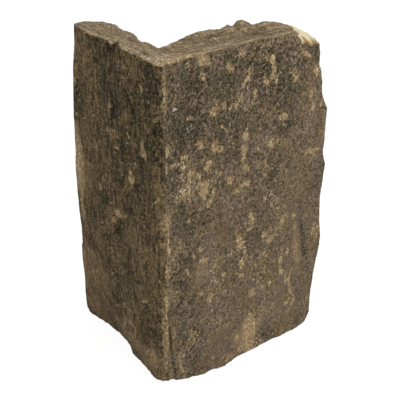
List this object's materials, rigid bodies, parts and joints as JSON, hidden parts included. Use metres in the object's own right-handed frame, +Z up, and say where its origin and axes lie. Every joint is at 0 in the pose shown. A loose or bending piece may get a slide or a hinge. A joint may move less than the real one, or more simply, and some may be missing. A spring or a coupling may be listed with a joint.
{
  "type": "corner cladding stone",
  "caption": "L-shaped split natural stone that wraps the outside corner of a wall, with riven outer faces and a sawn back.",
  "frame": {"origin": "on the bed, below the centre of the stone's bounding box", "axes": "+Z up from the bed, +X along the long leg away from the outer corner, +Y along the return away from the outer corner; the riven faces look towards -X and -Y"},
  "size_m": [0.1766, 0.1478, 0.2966],
  "materials": {
    "riven_stone": "riven grey-brown sandstone with an olive-dark return, tan patches, a paler broken top and a sawn back"
  },
  "bodies": {
    "root": {"corner_stone": "riven_stone"}
  },
  "joints": []
}
